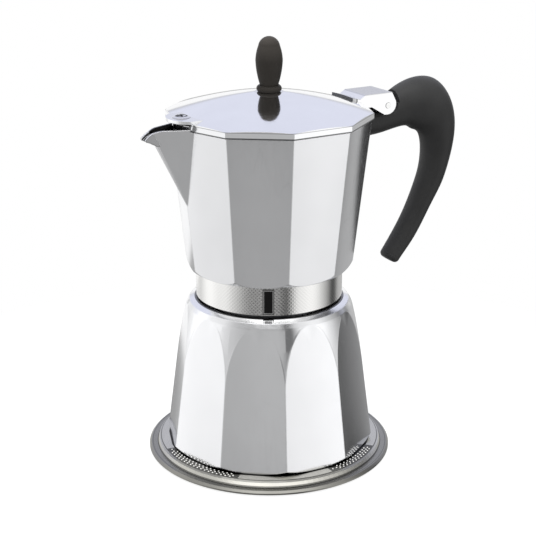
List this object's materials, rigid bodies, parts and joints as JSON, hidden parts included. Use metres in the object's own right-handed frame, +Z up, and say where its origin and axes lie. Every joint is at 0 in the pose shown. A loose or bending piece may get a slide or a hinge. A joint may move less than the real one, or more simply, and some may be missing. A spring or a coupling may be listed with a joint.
{
  "type": "moka pot",
  "caption": "Faceted aluminium stovetop moka pot on a wide induction plate, with a screw-on collector, hinged lid, dark curved handle and knob.",
  "frame": {"origin": "on the pot's axis at the underside of the induction plate", "axes": "+Z up, +X towards the handle, -X towards the spout"},
  "size_m": [0.1735, 0.12, 0.2042],
  "materials": {
    "cast_aluminium": "polished casting",
    "sheet_aluminium": "polished sheet",
    "steel": "polished steel",
    "polished_steel": "bright steel",
    "brass": "turned",
    "rubber": "moulded",
    "dark_plastic": "moulded, fine satin"
  },
  "bodies": {
    "boiler": {"induction_plate": "steel", "boiler": "cast_aluminium", "valve_body": "brass", "valve_washer": "rubber", "valve_cap": "brass", "valve_spring": "steel"},
    "valve": {"valve_plunger": "brass"},
    "funnel": {"funnel": "sheet_aluminium", "funnel_screen": "sheet_aluminium"},
    "seal": {"gasket": "rubber", "filter_plate": "sheet_aluminium"},
    "collector": {"collector": "cast_aluminium", "riser_column": "cast_aluminium", "neck_band": "steel", "band_badge": "steel", "hinge_pin": "polished_steel", "handle": "dark_plastic", "handle_pin": "polished_steel"},
    "lid": {"lid": "sheet_aluminium", "tongue_rivet": "polished_steel", "hinge_bracket": "sheet_aluminium", "bracket_rivets": "sheet_aluminium", "knob": "dark_plastic", "knob_washer": "polished_steel", "knob_screw": "polished_steel"}
  },
  "joints": [
    {"name": "funnel_lift", "type": "slide", "parent": "boiler", "child": "funnel", "axis": [0, 0, 1], "range_m": [0, 0.09]},
    {"name": "collector_rise", "type": "slide", "parent": "funnel", "child": "seal", "axis": [0, 0, 1], "range_m": [0, 0.0091]},
    {"name": "collector_turn", "type": "hinge", "parent": "seal", "child": "collector", "pos_m": [0, 0, 0.09], "axis": [0, 0, 1], "range_deg": [0, 1080]},
    {"name": "lid_hinge", "type": "hinge", "parent": "collector", "child": "lid", "pos_m": [0.062, 0, 0.1669], "axis": [0, 1, 0], "range_deg": [0, 100]},
    {"name": "valve_lift", "type": "slide", "parent": "boiler", "child": "valve", "axis": [0.0606, 0.9903, 0.1249], "range_m": [0, 0.0012], "stiffness_N_per_m": 1500, "springref_m": -0.002}
  ],
  "couplings": [
    {"joint": "collector_rise", "follows": "collector_turn", "m_per_rad": 0.00047746}
  ]
}
